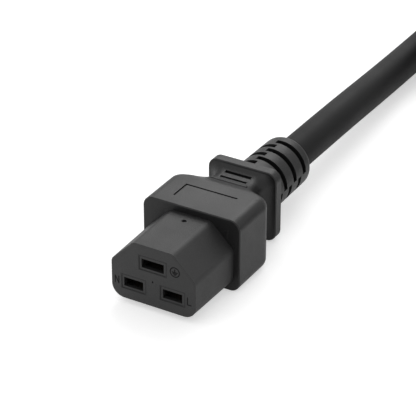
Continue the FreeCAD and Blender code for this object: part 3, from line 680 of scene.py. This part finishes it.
class POWERCORD_OT_cord(bpy.types.Operator):
    """Lays the jacketed cord from the connector through its hank to the plug"""

    bl_idname = "power_cord.cord"
    bl_label = "Cord"

    def execute(self, context):
        route = cord_route()
        curve = bpy.data.curves.new("power_cord", "CURVE")
        curve.dimensions = "3D"
        spline = curve.splines.new("NURBS")
        spline.points.add(len(route) - 1)
        weights = np.ones((len(route), 1))
        spline.points.foreach_set("co", np.concatenate([route, weights], axis=1).ravel())
        spline.order_u = 3
        spline.use_endpoint_u = True
        spline.resolution_u = 12
        curve.bevel_depth = sizes().diameter / 2
        curve.bevel_resolution = 10
        curve.use_fill_caps = True
        curve.materials.append(jacket_finish("cord_jacket", colours().jacket))
        cord = bpy.data.objects.new("power_cord", curve)
        context.scene.collection.objects.link(cord)
        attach(cord, BODY)
        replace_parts(cord, "cord_run", "cord_hank", "cord_tail")
        on_cord = ["plug_overmould", "pin_carrier"]
        on_cord += [f"{pole}_pin" for pole in POLES] + [f"plug_{pole}_wire" for pole in POLES]
        pieces = [NODES[name] for name in on_cord]
        pieces += [bpy.data.objects[name] for name in ("left_strap", "right_strap")]
        return {"FINISHED"}


class POWERCORD_OT_grips(bpy.types.Operator):
    """Finishes the two moulded grips, and closes the hood's face over the corners of the nose's tail"""

    bl_idname = "power_cord.grips"
    bl_label = "Grips"

    def execute(self, context):
        finish = moulded_finish("moulded_grip", colours().grip, roughness=0.42, grain=GRIP_GRAIN,
                                relief=0.04 * MM, specular=0.42)
        dress(["connector_overmould", "plug_overmould"], finish)
        webs = welded("hood_webs", [self.web(side) for side in (-1, 1)])
        placed("hood_webs", webs, finish)
        return {"FINISHED"}

    def web(self, side):
        """A thin three-cornered skin beside the nose's bevel, on the hood's face.

        The corners run over u. Over v they go from the middle out over the front, down into the face and
        back in: reach is the share of the way out to a corner, and depth how far behind the face it is.
        """
        outer, top, leg = 12.4, 20.0, 4.15
        corners = np.array([(outer, top - leg), (outer, top), (outer - leg, top)]) * MM
        reach = np.array([0.0, 0.86, 0.93, 1.0, 0.9, 0.0])
        depth = np.array([-0.02, -0.02, -0.02, 0.01, 0.05, 0.05]) * MM
        centre = corners.mean(axis=0)
        across = centre + (corners - centre)[:, None, :] * reach[None, :, None]
        y = np.broadcast_to(front("connector_overmould") + depth, across.shape[:2])
        return surface("web", np.stack([side * across[..., 0], y, across[..., 1]], axis=2), closed_u=True)


class POWERCORD_OT_nose(bpy.types.Operator):
    """Finishes the hard nose and the pin carrier"""

    bl_idname = "power_cord.nose"
    bl_label = "Nose"

    def execute(self, context):
        finish = moulded_finish("moulded_nose", colours().nose, roughness=0.56, grain=NOSE_GRAIN,
                                relief=0.04 * MM, specular=0.70)
        dress(["contact_carrier", "pin_carrier"], finish)
        return {"FINISHED"}


class POWERCORD_OT_marks(bpy.types.Operator):
    """Raises the pole marks and the thin frames of the slots on the nose's face"""

    bl_idname = "power_cord.marks"
    bl_label = "Pole marks and slot frames"

    def execute(self, context):
        self.marks()
        self.frames()
        return {"FINISHED"}

    def marks(self):
        """Writes the letters for neutral and line, and the earth sign in its ring, as beads."""
        letter = 1.15
        strokes = [
            (NEUTRAL_MARK, (-0.6, -letter), (-0.6, letter)),
            (NEUTRAL_MARK, (-0.6, letter), (0.6, -letter)),
            (NEUTRAL_MARK, (0.6, -letter), (0.6, letter)),
            (LINE_MARK, (-0.55, letter), (-0.55, -letter)),
            (LINE_MARK, (-0.55, -letter), (0.65, -letter)),
            (EARTH_MARK, (0.0, 0.85), (0.0, -0.05)),
            (EARTH_MARK, (-0.85, -0.05), (0.85, -0.05)),
            (EARTH_MARK, (-0.55, -0.45), (0.55, -0.45)),
            (EARTH_MARK, (-0.25, -0.85), (0.25, -0.85)),
        ]
        meshes = [self.stroke(np.add(centre, start), np.add(centre, end)) for centre, start, end in strokes]
        turn = whole_turn(steps=56)
        circle = np.stack([np.cos(turn), np.sin(turn)], axis=1)
        meshes.append(self.loop(EARTH_MARK, EARTH_RING * circle, circle, sizes().mark_stroke, MARK_SINK))
        # Darker and duller than the nose, so the raised strokes show as shaded lines: painted shade
        finish = moulded_finish("pole_marks", colours().mark, roughness=0.75, grain=NOSE_GRAIN,
                                relief=0.01 * MM, specular=0.16)
        placed("pole_marks", welded("pole_marks", meshes), finish)

    def frames(self):
        """Lays a bead along the step that runs round each slot; it reaches down into the step."""
        corners = np.array([(1, 1), (-1, 1), (-1, -1), (1, -1)])
        meshes = []
        for x, z, width in SLOTS:
            half = (width / 2 + SLOT_RIM, SLOT_HEIGHT / 2 + SLOT_RIM)
            meshes.append(self.loop((x, z), corners * half, corners, sizes().frame_stroke, FRAME_SINK))
        finish = moulded_finish("slot_frames", colours().nose, roughness=0.60, grain=NOSE_GRAIN,
                                relief=0.01 * MM, specular=0.52)
        placed("slot_frames", welded("slot_frames", meshes), finish)

    def section(self, width, sunk, steps):
        """Half-width and height of a bead from its crest down to the rim and back under the face, in metres.

        They are the sine and the cosine of half a turn, and the height's scale changes at the rim.
        """
        turn = np.linspace(0, np.pi, steps)
        height = np.cos(turn) * np.where(turn < np.pi / 2, sizes().mark_height, sunk)
        return width / 2 * np.sin(turn), height

    def on_face(self, name, across, height, **closed):
        """A surface whose first two coordinates lie in the nose's face and whose third stands out of it."""
        height = np.broadcast_to(height, across.shape[:2])
        grid = np.stack([across[..., 0], front("contact_carrier") - height, across[..., 1]], axis=2)
        return surface(name, grid, **closed)

    def stroke(self, start, end):
        """A bead with round ends between two places in millimetres.

        Each point is the nearer end of the spine, plus the half-width of the section along a direction. The
        direction turns over u; the section runs over v from the crest to under the face.
        """
        start, end = start * MM, end * MM
        along = (end - start) / np.linalg.norm(end - start)
        beside = np.array([-along[1], along[0]])
        turn = whole_turn(steps=22)
        spine = np.where(np.cos(turn)[:, None] > 0, end, start)
        direction = np.cos(turn)[:, None] * along + np.sin(turn)[:, None] * beside
        reach, height = self.section(sizes().mark_stroke, MARK_SINK, steps=9)
        across = spine[:, None, :] + direction[:, None, :] * reach[None, :, None]
        return self.on_face("stroke", across, height, closed_u=True)

    def loop(self, centre, line, outward, width, sunk):
        """The same bead on both sides of a closed line, in millimetres from its centre.

        The line runs over u; the section, laid along the outward direction, runs right round over v.
        """
        reach, height = self.section(width, sunk, steps=7)
        reach = np.concatenate([reach, -reach[-2:0:-1]])
        height = np.concatenate([height, height[-2:0:-1]])
        spine = (np.array(centre) + line) * MM
        across = spine[:, None, :] + outward[:, None, :] * reach[None, :, None]
        return self.on_face("loop", across, height, closed_u=True, closed_v=True)


class POWERCORD_OT_metal(bpy.types.Operator):
    """Finishes the contacts, the pins and the cores"""

    bl_idname = "power_cord.metal"
    bl_label = "Metal and cores"

    def execute(self, context):
        tones = colours()
        brass = metal_finish("brass_strip", tones.brass, roughness=0.36)
        plated = metal_finish("plated_pin", tones.plating, roughness=0.28)
        dress([f"{pole}_contact" for pole in POLES], brass)
        dress([f"{pole}_pin" for pole in POLES], plated)
        insulation = {
            "line": core_finish("brown_core", tones.line_core),
            "neutral": core_finish("blue_core", tones.neutral_core),
            "earth": core_finish("striped_core", tones.earth_core, tones.earth_band),
        }
        for pole, finish in insulation.items():
            dress([f"{pole}_wire", f"plug_{pole}_wire"], finish)
        return {"FINISHED"}


GROUPS = {
    "power_cord_sizes": CordSizes,
    "power_cord_colours": CordColours,
    "power_cord_stage": StageSettings,
}
OPERATORS = (
    POWERCORD_OT_stage,
    POWERCORD_OT_straps,
    POWERCORD_OT_cord,
    POWERCORD_OT_grips,
    POWERCORD_OT_nose,
    POWERCORD_OT_marks,
    POWERCORD_OT_metal,
)


class POWERCORD_PT_panel(bpy.types.Panel):
    """Lists the settings and the steps that dress the power cord"""

    bl_label = "Power cord"
    bl_idname = "POWERCORD_PT_panel"
    bl_space_type = "VIEW_3D"
    bl_region_type = "UI"
    bl_category = "Power cord"

    def draw(self, context):
        for group in (sizes(), colours(), stage_settings()):
            column = self.layout.column(align=True)
            for name in group.__annotations__:
                column.prop(group, name)
        for step in OPERATORS:
            self.layout.operator(step.bl_idname)


CLASSES = (*GROUPS.values(), *OPERATORS, POWERCORD_PT_panel)


def register():
    for made in CLASSES:
        bpy.utils.register_class(made)
    for name, group in GROUPS.items():
        setattr(bpy.types.Scene, name, bpy.props.PointerProperty(type=group))


def unregister():
    for name in GROUPS:
        delattr(bpy.types.Scene, name)
    for made in reversed(CLASSES):
        bpy.utils.unregister_class(made)


def main():
    """Runs the steps in order."""
    register()
    bpy.ops.power_cord.stage()
    bpy.ops.power_cord.straps()
    bpy.ops.power_cord.cord()
    bpy.ops.power_cord.grips()
    bpy.ops.power_cord.nose()
    bpy.ops.power_cord.marks()
    bpy.ops.power_cord.metal()


if __name__ == "__main__":
    main()
